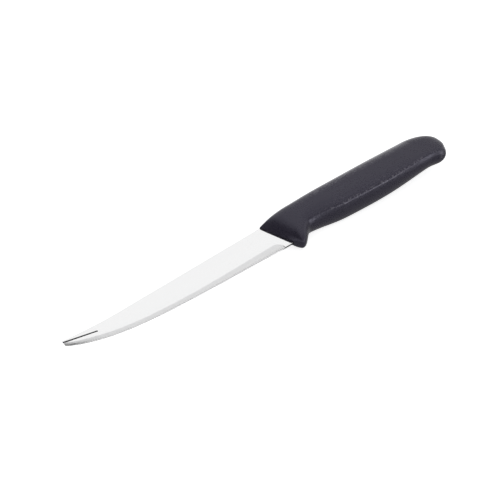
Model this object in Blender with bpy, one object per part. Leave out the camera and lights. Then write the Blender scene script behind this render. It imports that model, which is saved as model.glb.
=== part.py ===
# Serrated bar knife: a stamped steel blade with a forked tip, and a handle moulded over its tang.
#
# Lengths are in metres. Both pieces are drawn flat and share one frame. X runs from the tip (minus) to the
# butt (plus), with zero where the handle's front face meets the spine line. Y runs up from the cutting edge
# to the spine, with zero on the spine line. Z is the thickness, with zero in the middle of the steel, and
# the blade's left face looks up. An empty then lays the finished knife down on its right side.

import math

import bmesh
import bpy
from mathutils import Matrix, Vector

# Blade, seen from the side
BLADE_LENGTH = 0.125
HEEL_DEPTH = 0.0196
BELLY_DEPTH = 0.0164
BELLY_BEHIND_TIP = 0.062
TINE_DEPTH = 0.0010
TIP_RISE = 0.0024
TIP_SWEEP = 0.036
EDGE_SLOPE_AT_TIP = 0.69
EDGE_SLOPE_AT_BELLY = 0.068
EDGE_SLOPE_AT_HEEL = 0.030
TIP_PULL = 0.26
BELLY_PULL = 0.40

# Blade, through the thickness
STOCK_THICKNESS = 0.0016
SPINE_THICKNESS = 0.0015
DISTAL_TAPER = 0.0016
EDGE_TAPER = 0.0150

# Fork slot
SLOT_LENGTH = 0.0186
SLOT_WIDTH = 0.0009
SLOT_MOUTH_RISE = 0.0010
SLOT_DROP = 0.0048

# Serrated bevel, ground into the left face only
TOOTH_PITCH = 0.00125
TOOTH_SAMPLES = 6
EDGE_LAND = 0.00006
FLUTE_DEPTH = 0.00018
FLUTE_FADE = 0.00004
BEVEL_AT_TIP = 0.0015
BEVEL_AT_FORK = 0.0026
BEVEL_AT_BELLY = 0.0027
BEVEL_AT_HEEL = 0.0049
PLAIN_HEEL = 0.0052
RUN_OUT = 0.0044

# Handle, seen from the side: places are measured back from its front, or forward from its butt
HANDLE_LENGTH = 0.1165
FRONT_ANGLE = math.radians(20.5)
CREST_BACK = 0.0187
CREST_TOP = 0.0026
PALM_BACK = 0.062
PALM_TOP = 0.0015
GUARD_BACK = 0.0100
GUARD_DEPTH = 0.0248
NECK_BACK = 0.0209
NECK_DEPTH = 0.0170
GRIP_BACK = 0.045
GRIP_DEPTH = 0.0198
HAUNCH_BACK = 0.077
HAUNCH_DEPTH = 0.0212
WAIST_BEFORE_BUTT = 0.0143
WAIST_DEPTH = 0.0204
BEAK_BEFORE_BUTT = 0.0062
BEAK_DEPTH = 0.0215
ROUND_BEFORE_BUTT = 0.0180
ROUND_TOP = 0.0005
BUTT_DEPTH = 0.0130

# Handle, walls around the steel at its front
SIDE_WALL = 0.0008
TOP_WALL = 0.0003
LIP_WALL = 0.0006

# Handle, half thicknesses across its flanks
GUARD_HALF = 0.0046
NECK_HALF = 0.0069
SWELL_BACK = 0.040
SWELL_HALF = 0.0079
PALM_HALF = 0.0077
BEAK_HALF = 0.0052

# Handle, cross-section: widths as shares of the local thickness
FRONT_RIDGE_SHARE = 0.80
RIDGE_SHARE = 0.34
FRONT_KEEL_SHARE = 0.60
KEEL_SHARE = 0.31
LIP_EDGE_SHARE = 0.90
EDGE_SHARE = 0.79
BEAK_EDGE_SHARE = 0.96

# Handle, cross-section: how far down the top facets reach, how high above the keel the flanks start to
# turn in, and how high above it their lower edges run
FRONT_TOP_FACET = 0.0006
GUARD_TOP_FACET = 0.0032
PALM_TOP_FACET = 0.0048
LIP_TURN = 0.0012
GUARD_TURN = 0.0082
NECK_TURN = 0.0055
PALM_TURN = 0.0049
BEAK_TURN = 0.0028
LIP_EDGE = 0.0006
GUARD_EDGE = 0.0030
NECK_EDGE = 0.0018
PALM_EDGE = 0.0012
BEAK_EDGE = 0.0018

# Handle, cross-section: how far each corner's rounding reaches along its sides
RIDGE_ROUND = 0.0025
TOP_ROUND = 0.0040
TURN_ROUND = 0.0015
EDGE_ROUND = 0.0007
KEEL_ROUND = 0.0022

# Handle, how its lines close over the butt: powers of a quarter circle's fall, where a lower one stays full
# for longer, and the power that keeps the beak's sections upright until they near the butt
SIDE_CLOSING = 0.60
TOP_CLOSING = 1.15
BEAK_LEAN = 3

# Tang, under the handle
SHOULDER_INSET = 0.0040
SPINE_STEP = 0.0006
TANG_DROP = 0.0042
TANG_HEIGHT = 0.0110
TANG_LENGTH = 0.070
TANG_NARROWING = 0.0015
HOLE_COUNT = 3
HOLE_DIAMETER = 0.0050
HOLE_MARGIN = 0.0090

# Clearances: between the pieces, past a face that a cutter breaks through, and past the bevel's two sides
FIT_GAP = 0.0003
CUT_CLEAR = 0.0020
GRIND_OVER = 0.0006
GRIND_OUT = 0.0012

# Densities in kilograms per cubic metre, for the balance point
STEEL_DENSITY = 7750
PLASTIC_DENSITY = 920

# Search for the slope at which the knife rests: the steepest tried, and how finely it is found
STEEPEST_REST = 0.2
REST_PRECISION = 0.000001

# Fineness
ARC_STEPS = 10
CURVE_STEPS = 24
ROUND_STEPS = 3
MOST_ROUND = 0.48
SHARP_ANGLE = math.radians(40)
SAME_POINT = 0.000001
FRONT_SECTIONS = 16
BODY_SECTIONS = 16
BUTT_ANGLES = (18, 34, 48, 60, 70, 79, 86)

# Sizes that follow from those above
SETBACK = math.tan(FRONT_ANGLE)
HALF_STOCK = STOCK_THICKNESS / 2
FRONT_HALF = HALF_STOCK + FIT_GAP + SIDE_WALL
FRONT_TOP = FIT_GAP + TOP_WALL - SPINE_STEP
LIP_DEPTH = HEEL_DEPTH + FIT_GAP + LIP_WALL


def clear_scene():
    for item in list(bpy.data.objects):
        bpy.data.objects.remove(item, do_unlink=True)


def new_collection(name):
    made = bpy.data.collections.new(name)
    bpy.context.scene.collection.children.link(made)
    return made


def as_cutter(item):
    item.hide_render = True
    item.display_type = "WIRE"


def material(name, colour, metallic, roughness):
    made = bpy.data.materials.new(name)
    made.use_nodes = True
    shader = made.node_tree.nodes["Principled BSDF"]
    shader.inputs["Base Color"].default_value = (*colour, 1.0)
    shader.inputs["Metallic"].default_value = metallic
    shader.inputs["Roughness"].default_value = roughness
    made.diffuse_color = (*colour, 1.0)
    return made


def mesh_object(name, shape, collection):
    """A named object from a bmesh, with its faces turned outwards."""
    shape.normal_update()
    bmesh.ops.recalc_face_normals(shape, faces=shape.faces)
    data = bpy.data.meshes.new(name)
    shape.to_mesh(data)
    shape.free()
    made = bpy.data.objects.new(name, data)
    collection.objects.link(made)
    return made


def sheet(name, outline, thickness, collection):
    """A flat plate, centred on Z zero, from a closed outline."""
    curve = bpy.data.curves.new(name, "CURVE")
    curve.dimensions = "2D"
    curve.fill_mode = "BOTH"
    curve.extrude = thickness / 2
    spline = curve.splines.new("POLY")
    spline.points.add(len(outline) - 1)
    for point, (x, y) in zip(spline.points, outline):
        point.co = (x, y, 0.0, 1.0)
    spline.use_cyclic_u = True
    drawn = bpy.data.objects.new(name + "_outline", curve)
    bpy.context.scene.collection.objects.link(drawn)
    graph = bpy.context.evaluated_depsgraph_get()
    data = bpy.data.meshes.new_from_object(drawn.evaluated_get(graph))
    bpy.data.objects.remove(drawn, do_unlink=True)
    shape = bmesh.new()
    shape.from_mesh(data)
    bpy.data.meshes.remove(data)
    bmesh.ops.remove_doubles(shape, verts=shape.verts, dist=SAME_POINT)
    return mesh_object(name, shape, collection)


def cut(item, cutter, name):
    """Takes the cutter's shape out of the item."""
    step = item.modifiers.new(name, "BOOLEAN")
    step.operation = "DIFFERENCE"
    step.object = cutter


def bezier(start, start_handle, end_handle, end, steps):
    """Points along one curved stretch, without its last point."""
    points = []
    for step in range(steps):
        t = step / steps
        a = (1 - t) ** 3
        b = 3 * t * (1 - t) ** 2
        c = 3 * t * t * (1 - t)
        d = t**3
        points.append(start * a + start_handle * b + end_handle * c + end * d)
    return points


def arc(centre, radius, from_angle, to_angle, steps):
    """Points along an arc, both ends included."""
    turn = (to_angle - from_angle) / steps
    angles = [from_angle + turn * step for step in range(steps + 1)]
    return [Vector((centre[0] + radius * math.cos(a), centre[1] + radius * math.sin(a))) for a in angles]


def smooth_line(points, place):
    """Reads a line that runs smoothly through (place, size) points and never swings past a point."""
    xs = [point[0] for point in points]
    ys = [point[1] for point in points]
    place = min(max(place, xs[0]), xs[-1])
    spans = [b - a for a, b in zip(xs, xs[1:])]
    slopes = [(b - a) / span for a, b, span in zip(ys, ys[1:], spans)]
    tangents = [slopes[0]]
    for before, after, left, right in zip(slopes, slopes[1:], spans, spans[1:]):
        if before * after <= 0:
            tangents.append(0.0)
            continue
        near = 2 * right + left
        far = right + 2 * left
        tangents.append((near + far) / (near / before + far / after))
    tangents.append(slopes[-1])
    index = max(i for i in range(len(spans)) if place >= xs[i])
    t = (place - xs[index]) / spans[index]
    rise = ys[index] * (1 + 2 * t) * (1 - t) ** 2 + ys[index + 1] * t * t * (3 - 2 * t)
    swing = tangents[index] * t * (1 - t) ** 2 - tangents[index + 1] * t * t * (1 - t)
    return rise + swing * spans[index]


# Blade


def front_at(y, ahead=0.0):
    """X of the handle's slanted front plane at a height, moved ahead of it along the knife."""
    return -y * SETBACK - ahead


def edge_curve():
    """The uncut edge line, from the lower tine's corner back to the heel under the handle's front."""
    tine = Vector((-BLADE_LENGTH, -TINE_DEPTH))
    belly = Vector((-BLADE_LENGTH + BELLY_BEHIND_TIP, -BELLY_DEPTH))
    heel = Vector((front_at(-HEEL_DEPTH), -HEEL_DEPTH))
    at_tip = Vector((1.0, -EDGE_SLOPE_AT_TIP)) * BELLY_BEHIND_TIP * TIP_PULL
    at_belly = Vector((1.0, -EDGE_SLOPE_AT_BELLY))
    at_heel = Vector((1.0, -EDGE_SLOPE_AT_HEEL))
    pull = BELLY_BEHIND_TIP * BELLY_PULL
    third = (heel.x - belly.x) / 3
    swept = bezier(tine, tine + at_tip, belly - at_belly * pull, belly, CURVE_STEPS)
    straight = bezier(belly, belly + at_belly * third, heel - at_heel * third, heel, CURVE_STEPS // 2)
    return swept + straight + [heel]


def spine_curve():
    """The spine from the handle's front to the tip, straight and then swept up."""
    tip = Vector((-BLADE_LENGTH, TIP_RISE))
    bend = Vector((-BLADE_LENGTH + TIP_SWEEP, 0.0))
    sweep = bezier(
        bend,
        bend - Vector((TIP_SWEEP / 3, 0.0)),
        tip + Vector((TIP_SWEEP, -TIP_RISE * 2)) / 3,
        tip,
        ARC_STEPS,
    )
    return sweep + [tip]


def tang_outline(grow, ahead):
    """The steel under the handle, from its front at the heel round to its front just below the spine.

    It starts ahead of the handle's front plane. The same outline, grown by the clearance, is the space for
    it in the handle.
    """
    inset = SHOULDER_INSET + grow / math.cos(FRONT_ANGLE)
    heel = -HEEL_DEPTH - grow
    top = -TANG_DROP + grow
    bottom = -TANG_DROP - TANG_HEIGHT - grow
    step = -SPINE_STEP + grow
    end_top = top - TANG_NARROWING
    end_bottom = bottom + TANG_NARROWING
    radius = (end_top - end_bottom) / 2
    centre = (TANG_LENGTH + grow - radius, (end_top + end_bottom) / 2)
    return [
        Vector((front_at(heel, ahead), heel)),
        Vector((front_at(heel) + inset, heel)),
        Vector((front_at(bottom) + inset, bottom)),
        *arc(centre, radius, -math.pi / 2, math.pi / 2, ARC_STEPS),
        Vector((front_at(top) + inset, top)),
        Vector((front_at(step) + inset, step)),
        Vector((front_at(step, ahead), step)),
    ]


def hole_pins(name, shrink, collection):
    """Round pins that cut the tang's holes. Shrunk by the clearance, they are the plastic plugs in them."""
    middle = -TANG_DROP - TANG_HEIGHT / 2
    first = front_at(middle) + SHOULDER_INSET + HOLE_MARGIN
    last = TANG_LENGTH - HOLE_MARGIN
    radius = HOLE_DIAMETER / 2 - shrink
    shape = bmesh.new()
    for index in range(HOLE_COUNT):
        x = first + (last - first) * index / (HOLE_COUNT - 1)
        bmesh.ops.create_cone(
            shape,
            cap_ends=True,
            segments=2 * ARC_STEPS,
            radius1=radius,
            radius2=radius,
            depth=STOCK_THICKNESS + CUT_CLEAR,
            matrix=Matrix.Translation((x, middle, 0.0)),
        )
    return mesh_object(name, shape, collection)


def flat_height(x, y):
    """Half the steel's thickness on the ground flats, which thin towards the edge and the tip."""
    return SPINE_THICKNESS / 2 + DISTAL_TAPER * x + EDGE_TAPER * y


def flat_cutter(side, collection):
    """The block of steel that grinding takes off one face of the exposed blade."""
    name = "left_flat_cutter" if side > 0 else "right_flat_cutter"
    reach = BLADE_LENGTH + CUT_CLEAR
    shape = bmesh.new()
    bmesh.ops.create_cube(shape, size=1.0)
    for vertex in shape.verts:
        y = TIP_RISE + CUT_CLEAR if vertex.co.y > 0 else -HEEL_DEPTH - CUT_CLEAR
        x = front_at(y, FIT_GAP) if vertex.co.x > 0 else -reach
        inner = flat_height(x, y)
        z = HALF_STOCK + CUT_CLEAR if vertex.co.z > 0 else inner
        vertex.co = (x, y, side * z)
    return mesh_object(name, shape, collection)


def slot_cutter(collection):
    """The slot that splits the tip into two tines: straight sided, with a round inner end."""
    mouth = Vector((-BLADE_LENGTH, SLOT_MOUTH_RISE))
    run = math.sqrt(SLOT_LENGTH**2 - SLOT_DROP**2)
    along = Vector((run, -SLOT_DROP)).normalized()
    across = Vector((-along.y, along.x))
    heading = math.atan2(along.y, along.x)
    end = mouth + along * (SLOT_LENGTH - SLOT_WIDTH / 2)
    start = mouth - along * CUT_CLEAR
    outline = [start - across * SLOT_WIDTH / 2]
    outline += arc(end, SLOT_WIDTH / 2, heading - math.pi / 2, heading + math.pi / 2, ARC_STEPS)
    outline += [start + across * SLOT_WIDTH / 2]
    return sheet("slot_cutter", outline, STOCK_THICKNESS + CUT_CLEAR, collection)


def walk(points, spacing):
    """Evenly spaced (place, point, direction) along a line of points."""
    place = 0.0
    wanted = 0.0
    stops = []
    for a, b in zip(points, points[1:]):
        length = (b - a).length
        while wanted <= place + length:
            stops.append((wanted, a.lerp(b, (wanted - place) / length), (b - a).normalized()))
            wanted += spacing
        place += length
    return stops


def bevel_width(place, length):
    """Width of the ground bevel along the edge: wide at the heel, narrow from the belly to the tip."""
    points = (
        (0.0, BEVEL_AT_TIP),
        (SLOT_LENGTH, BEVEL_AT_FORK),
        (BELLY_BEHIND_TIP, BEVEL_AT_BELLY),
        (length - PLAIN_HEEL - RUN_OUT, BEVEL_AT_HEEL),
    )
    return smooth_line(points, place)


def lift_off(place, length):
    """How far the grinding wheel has moved off the edge near the heel, following its own round."""
    into = (place - (length - PLAIN_HEEL - RUN_OUT)) / RUN_OUT
    if into <= 0:
        return 0.0
    if into >= 1:
        return 1.0
    return 1 - math.sqrt(1 - into * into)


def serration_cutter(collection):
    """A loft along the edge whose working face is a shallow bevel, fluted like the dressed grinding wheel.

    Each flute is one arch of a sine, so neighbours meet in a sharp crest. The bevel stops just short of the
    right face at the crests, and the flutes break through it, which leaves the teeth.
    """
    edge = edge_curve()
    lead = (edge[0] - edge[1]).normalized() * CUT_CLEAR
    length = sum((b - a).length for a, b in zip(edge, edge[1:]))
    rings = []
    for place, point, along in walk([edge[0] + lead] + edge, TOOTH_PITCH / TOOTH_SAMPLES):
        place -= CUT_CLEAR
        if place > length - PLAIN_HEEL + 2 * RUN_OUT:
            break
        inward = Vector((-along.y, along.x))
        flute = abs(math.sin(math.pi * place / TOOTH_PITCH))
        width = bevel_width(max(place, 0.0), length)
        steel = 2 * flat_height(point.x, point.y)
        slope = (steel - EDGE_LAND) / width
        reach = width - (width + GRIND_OUT) * lift_off(place, length)
        ring = []
        for from_edge, deep in ((width + GRIND_OVER, FLUTE_FADE), (-GRIND_OUT, FLUTE_DEPTH)):
            spot = point + inward * from_edge
            depth = slope * (reach - from_edge) + deep * flute
            ring.append(Vector((spot.x, spot.y, flat_height(spot.x, spot.y) - depth)))
        ring.append(Vector((ring[1].x, ring[1].y, HALF_STOCK + CUT_CLEAR)))
        ring.append(Vector((ring[0].x, ring[0].y, HALF_STOCK + CUT_CLEAR)))
        rings.append(ring)
    return loft("serration_cutter", rings, collection)


def loft(name, rings, collection):
    """A closed solid through rings of points, each ring with the same count, capped at both ends."""
    shape = bmesh.new()
    rows = [[shape.verts.new(point) for point in ring] for ring in rings]
    count = len(rows[0])
    for row, after in zip(rows, rows[1:]):
        for i in range(count):
            j = (i + 1) % count
            shape.faces.new((row[i], row[j], after[j], after[i]))
    shape.faces.new(rows[0])
    shape.faces.new(rows[-1])
    bmesh.ops.triangulate(shape, faces=shape.faces)
    return mesh_object(name, shape, collection)


def build_blade(parts, cutters):
    spine_end = Vector((front_at(0.0, FIT_GAP), 0.0))
    outline = edge_curve()[:-1] + tang_outline(0.0, FIT_GAP) + [spine_end] + spine_curve()
    blade = sheet("blade", outline, STOCK_THICKNESS, parts)
    cut(blade, hole_pins("tang_hole_cutter", 0.0, cutters), "tang_holes")
    cut(blade, flat_cutter(1, cutters), "grind_left_flat")
    cut(blade, flat_cutter(-1, cutters), "grind_right_flat")
    cut(blade, slot_cutter(cutters), "fork_slot")
    cut(blade, serration_cutter(cutters), "serration")
    blade.data.materials.append(material("stainless_steel", (0.80, 0.80, 0.81), 1.0, 0.28))
    return blade


# Handle


def rounded(corners, cuts):
    """Rounds each corner of a closed outline by its own cut, stopping just short of half of a side."""
    points = []
    count = len(corners)
    for index, (corner, size) in enumerate(zip(corners, cuts)):
        before = corners[index - 1] - corner
        after = corners[(index + 1) % count] - corner
        start = corner + before * min(size / before.length, MOST_ROUND)
        end = corner + after * min(size / after.length, MOST_ROUND)
        for step in range(ROUND_STEPS + 1):
            t = step / ROUND_STEPS
            points.append(start * (1 - t) ** 2 + corner * 2 * t * (1 - t) + end * t * t)
    return points


def section(top, bottom, half, ridge, top_facet, turn, edge_height, edge, keel):
    """One cross-section, as (height, across) points.

    A ridge runs along the top. Each flat flank turns in a little before its crisp lower edge, and a steep
    belly facet joins that edge to the keel.
    """
    left = [
        (top, ridge),
        (top - top_facet, half),
        (bottom + turn, half),
        (bottom + edge_height, edge),
        (bottom, keel),
    ]
    right = [(y, -z) for y, z in reversed(left)]
    corners = [Vector(point) for point in left + right]
    rounds = [RIDGE_ROUND, TOP_ROUND, TURN_ROUND, EDGE_ROUND, KEEL_ROUND]
    return rounded(corners, rounds + rounds[::-1])


LIP_BACK = front_at(-LIP_DEPTH)
FRONT_TOP_BACK = front_at(FRONT_TOP)
WAIST_BACK = HANDLE_LENGTH - WAIST_BEFORE_BUTT
BEAK_BACK = HANDLE_LENGTH - BEAK_BEFORE_BUTT
ROUND_BACK = HANDLE_LENGTH - ROUND_BEFORE_BUTT

# The long lines of the handle, each as (place, size) points from front to butt
TOP_LINE = (
    (FRONT_TOP_BACK, FRONT_TOP),
    (CREST_BACK, CREST_TOP),
    (PALM_BACK, PALM_TOP),
    (ROUND_BACK, ROUND_TOP),
)
BOTTOM_LINE = (
    (LIP_BACK, -LIP_DEPTH),
    (GUARD_BACK, -GUARD_DEPTH),
    (NECK_BACK, -NECK_DEPTH),
    (GRIP_BACK, -GRIP_DEPTH),
    (HAUNCH_BACK, -HAUNCH_DEPTH),
    (WAIST_BACK, -WAIST_DEPTH),
    (BEAK_BACK, -BEAK_DEPTH),
)
HALF_LINE = (
    (0.0, FRONT_HALF),
    (GUARD_BACK, GUARD_HALF),
    (NECK_BACK, NECK_HALF),
    (SWELL_BACK, SWELL_HALF),
    (PALM_BACK, PALM_HALF),
    (BEAK_BACK, BEAK_HALF),
)
RIDGE_LINE = ((0.0, FRONT_RIDGE_SHARE), (NECK_BACK, RIDGE_SHARE), (BEAK_BACK, RIDGE_SHARE))
KEEL_LINE = ((LIP_BACK, FRONT_KEEL_SHARE), (NECK_BACK, KEEL_SHARE), (BEAK_BACK, KEEL_SHARE))
TOP_FACET_LINE = ((0.0, FRONT_TOP_FACET), (GUARD_BACK, GUARD_TOP_FACET), (PALM_BACK, PALM_TOP_FACET))
TURN_LINE = (
    (LIP_BACK, LIP_TURN),
    (GUARD_BACK, GUARD_TURN),
    (NECK_BACK, NECK_TURN),
    (PALM_BACK, PALM_TURN),
    (BEAK_BACK, BEAK_TURN),
)
EDGE_HEIGHT_LINE = (
    (LIP_BACK, LIP_EDGE),
    (GUARD_BACK, GUARD_EDGE),
    (NECK_BACK, NECK_EDGE),
    (PALM_BACK, PALM_EDGE),
    (BEAK_BACK, BEAK_EDGE),
)
EDGE_LINE = (
    (LIP_BACK, LIP_EDGE_SHARE),
    (NECK_BACK, EDGE_SHARE),
    (PALM_BACK, EDGE_SHARE),
    (BEAK_BACK, BEAK_EDGE_SHARE),
)


def station(top_x, bottom_x):
    """The section between a place on the top line and a place on the bottom line."""
    middle = top_x if top_x < NECK_BACK else (top_x + bottom_x) / 2
    half = smooth_line(HALF_LINE, middle)
    return (
        top_x,
        bottom_x,
        smooth_line(TOP_LINE, top_x),
        smooth_line(BOTTOM_LINE, bottom_x),
        half,
        half * smooth_line(RIDGE_LINE, middle),
        smooth_line(TOP_FACET_LINE, middle),
        smooth_line(TURN_LINE, bottom_x),
        smooth_line(EDGE_HEIGHT_LINE, bottom_x),
        half * smooth_line(EDGE_LINE, bottom_x),
        half * smooth_line(KEEL_LINE, bottom_x),
    )


def handle_stations():
    """Sections that lean with the front face, stand upright from the neck on, and close over the butt."""
    stations = []
    for step in range(FRONT_SECTIONS):
        share = step / FRONT_SECTIONS
        top_x = FRONT_TOP_BACK + (NECK_BACK - FRONT_TOP_BACK) * share
        bottom_x = LIP_BACK + (NECK_BACK - LIP_BACK) * share
        stations.append(station(top_x, bottom_x))
    for step in range(BODY_SECTIONS + 1):
        share = step / BODY_SECTIONS
        top_x = NECK_BACK + (ROUND_BACK - NECK_BACK) * share
        stations.append(station(top_x, top_x + (BEAK_BACK - ROUND_BACK) * share**BEAK_LEAN))
    top_x, bottom_x, top, bottom, half, ridge, top_facet, turn, edge_height, edge, keel = stations[-1]
    for angle in BUTT_ANGLES:
        near = math.sin(math.radians(angle))
        small = math.cos(math.radians(angle))
        full = small**SIDE_CLOSING
        stations.append(
            (
                top_x + (HANDLE_LENGTH - top_x) * near,
                bottom_x + (HANDLE_LENGTH - bottom_x) * near,
                -BUTT_DEPTH + (top + BUTT_DEPTH) * small**TOP_CLOSING,
                -BUTT_DEPTH + (bottom + BUTT_DEPTH) * small,
                half * full,
                ridge * full,
                top_facet * small,
                turn * small,
                edge_height * small,
                edge * full,
                keel * full,
            )
        )
    return stations


def handle_rings():
    rings = []
    for top_x, bottom_x, top, bottom, *across in handle_stations():
        ring = []
        for y, z in section(top, bottom, *across):
            down = (top - y) / (top - bottom)
            ring.append(Vector((top_x + (bottom_x - top_x) * down, y, z)))
        rings.append(ring)
    return rings


def build_handle(parts, cutters):
    handle = loft("handle", handle_rings(), parts)
    room = STOCK_THICKNESS + 2 * FIT_GAP
    space = sheet("tang_space_cutter", tang_outline(FIT_GAP, CUT_CLEAR), room, cutters)
    cut(space, hole_pins("plastic_plug_cutter", FIT_GAP, cutters), "plastic_plugs")
    cut(handle, space, "tang_space")
    handle.data.shade_smooth()
    handle.data.set_sharp_from_angle(angle=SHARP_ANGLE)
    handle.data.materials.append(material("moulded_plastic", (0.030, 0.028, 0.036), 0.0, 0.5))
    return handle


# Laying the knife down


def corners_of(item, graph):
    """The corners of each triangle of a finished solid."""
    data = item.evaluated_get(graph).to_mesh()
    data.calc_loop_triangles()
    places = [vertex.co.copy() for vertex in data.vertices]
    triangles = [[places[index] for index in triangle.vertices] for triangle in data.loop_triangles]
    item.evaluated_get(graph).to_mesh_clear()
    return triangles


def balance_point(solids):
    """X of the centre of mass of (triangles, density) solids, summed over cones from the origin."""
    mass = 0.0
    moment = 0.0
    for triangles, density in solids:
        for a, b, c in triangles:
            share = a.dot(b.cross(c)) / 6 * density
            mass += share
            moment += share * (a.x + b.x + c.x) / 4
    print("mass in grams:", round(mass * 1000, 1), "balance behind the front:", round(moment / mass, 4))
    return moment / mass


def rest_slope(points, balance):
    """Slope of the ground line that touches the knife from below on both sides of its balance point."""

    def clearance(slope):
        return min(point.z - slope * (point.x - balance) for point in points)

    low = -STEEPEST_REST
    high = STEEPEST_REST
    while high - low > REST_PRECISION:
        first = low + (high - low) / 3
        second = high - (high - low) / 3
        if clearance(first) < clearance(second):
            low = first
        else:
            high = second
    return (low + high) / 2


def lay_down(frame, blade, handle):
    """Turns and moves the shared frame so that the knife rests on the ground, centred on the origin."""
    bpy.context.view_layer.update()
    graph = bpy.context.evaluated_depsgraph_get()
    steel = corners_of(blade, graph)
    plastic = corners_of(handle, graph)
    balance = balance_point([(steel, STEEL_DENSITY), (plastic, PLASTIC_DENSITY)])
    points = [corner for triangle in steel + plastic for corner in triangle]
    angle = math.atan(rest_slope(points, balance))
    turned = [Matrix.Rotation(angle, 3, "Y") @ point for point in points]
    low = [min(point[axis] for point in turned) for axis in range(3)]
    high = [max(point[axis] for point in turned) for axis in range(3)]
    frame.rotation_euler = (0.0, angle, 0.0)
    frame.location = (-(low[0] + high[0]) / 2, -(low[1] + high[1]) / 2, -low[2])
    bpy.context.view_layer.update()
    print("rest tilt in degrees:", round(math.degrees(angle), 3))
    print("frame location:", [round(value, 6) for value in frame.location])


def main():
    clear_scene()
    parts = new_collection("serrated_bar_knife")
    cutters = new_collection("cutters")
    frame = bpy.data.objects.new("knife_frame", None)
    parts.objects.link(frame)
    blade = build_blade(parts, cutters)
    handle = build_handle(parts, cutters)
    for item in [blade, handle, *cutters.objects]:
        item.parent = frame
    for cutter in cutters.objects:
        as_cutter(cutter)
    lay_down(frame, blade, handle)


main()
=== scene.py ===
# %% [markdown]
# # A serrated bar knife
#
# The knife is a thin steel blade with a forked tip and a serrated edge, and a near-black plastic handle that
# was moulded over the steel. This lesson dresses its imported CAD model: it rebuilds the blade with finer teeth
# and the handle with a smoother skin, gives each its finishes, and sets up a camera, a white floor and soft
# light.
#
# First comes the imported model. It is a fixed frame: its two nodes show where everything lies, in metres.

import math
from functools import partial

import bmesh
import bpy
from mathutils import Matrix, Vector


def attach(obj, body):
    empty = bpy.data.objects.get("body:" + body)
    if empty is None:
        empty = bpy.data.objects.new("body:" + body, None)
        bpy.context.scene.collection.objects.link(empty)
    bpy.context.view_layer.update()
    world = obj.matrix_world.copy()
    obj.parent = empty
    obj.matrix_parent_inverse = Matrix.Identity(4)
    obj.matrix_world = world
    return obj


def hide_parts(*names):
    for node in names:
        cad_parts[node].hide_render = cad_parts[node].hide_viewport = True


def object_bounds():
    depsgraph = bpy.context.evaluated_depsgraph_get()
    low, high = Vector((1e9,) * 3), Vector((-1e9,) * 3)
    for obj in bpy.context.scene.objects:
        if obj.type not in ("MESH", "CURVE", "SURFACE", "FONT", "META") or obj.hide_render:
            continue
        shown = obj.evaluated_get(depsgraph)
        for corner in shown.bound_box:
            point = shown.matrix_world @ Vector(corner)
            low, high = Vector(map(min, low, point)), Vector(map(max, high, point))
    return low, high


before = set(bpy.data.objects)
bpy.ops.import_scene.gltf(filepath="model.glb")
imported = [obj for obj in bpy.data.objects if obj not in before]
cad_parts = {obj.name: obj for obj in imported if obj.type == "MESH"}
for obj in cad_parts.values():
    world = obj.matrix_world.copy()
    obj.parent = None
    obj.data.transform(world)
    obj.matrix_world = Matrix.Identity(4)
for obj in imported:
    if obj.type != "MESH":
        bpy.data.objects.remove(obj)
cad_low, cad_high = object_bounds()
scene = bpy.context.scene


def in_mm(lengths, digits=2):
    return [round(1000 * length, digits) for length in lengths]


cad_size = [high - low for low, high in zip(cad_low, cad_high)]
print("nodes:", sorted(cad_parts), "box in mm:", in_mm(cad_size, 1))

# %% [markdown]
# ## The knife's own frame
#
# A knife is easiest to draw flat: X along the blade from the tip to the butt, Y from the edge up to the spine
# and Z through its thickness. Zero is where the handle's front meets the spine, in the middle of the steel.
# The real knife lies on its right side. The handle is thicker than the blade, so it leans a little, tip down.
# One turn and one shift carry the drawing to that place. They go into the mesh itself, so that each finished
# object sits at the origin, unturned.

# %% Where the drawing lies in the frame
REST_TILT = math.radians(-2.589)
DRAWN_AT = Vector((0.004244, 0.011098, 0.006231))
LAID_DOWN = Matrix.Translation(DRAWN_AT) @ Matrix.Rotation(REST_TILT, 4, "Y")

BLADE_LENGTH = 0.125
HEEL_DEPTH = 0.0196
FRONT_ANGLE = math.radians(20.5)
STOCK_THICKNESS = 0.0016
SETBACK = math.tan(FRONT_ANGLE)


def front_at(y, ahead=0.0):
    """X of the handle's slanted front plane at a height, moved ahead of it along the knife."""
    return -y * SETBACK - ahead


def front_point(y, ahead=0.0):
    """The point on that plane at a height."""
    return Vector((front_at(y, ahead), y))


print("lean in degrees:", round(math.degrees(REST_TILT), 2))

# %% Helpers for objects and meshes


def add_object(name, data):
    """A new object in the scene, from a mesh, a lamp or a camera."""
    made = bpy.data.objects.new(name, data)
    scene.collection.objects.link(made)
    return made


def mesh_object(name, shape):
    """A new object from a bmesh, with its faces turned outwards."""
    bmesh.ops.recalc_face_normals(shape, faces=shape.faces)
    data = bpy.data.meshes.new(name)
    shape.to_mesh(data)
    shape.free()
    return add_object(name, data)


def close_seams(shape, nearer_than):
    """Joins points that lie in one place and removes faces that have no size."""
    bmesh.ops.remove_doubles(shape, verts=shape.verts, dist=nearer_than)
    bmesh.ops.dissolve_degenerate(shape, edges=shape.edges, dist=nearer_than)


def rework(item, change):
    """Changes an object's mesh in place, as a bmesh."""
    shape = bmesh.new()
    shape.from_mesh(item.data)
    change(shape)
    shape.to_mesh(item.data)
    shape.free()


def round_edges(shape, edges, radius, clamp=False):
    """Gives some edges of a bmesh a small round of three faces."""
    settings = {"segments": 3, "profile": 0.5, "affect": "EDGES", "clamp_overlap": clamp}
    bmesh.ops.bevel(shape, geom=edges, offset=radius, **settings)


def count_triangles(item):
    """Triangles in an object's mesh once its faces are split."""
    return sum(len(face.vertices) - 2 for face in item.data.polygons)

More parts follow.
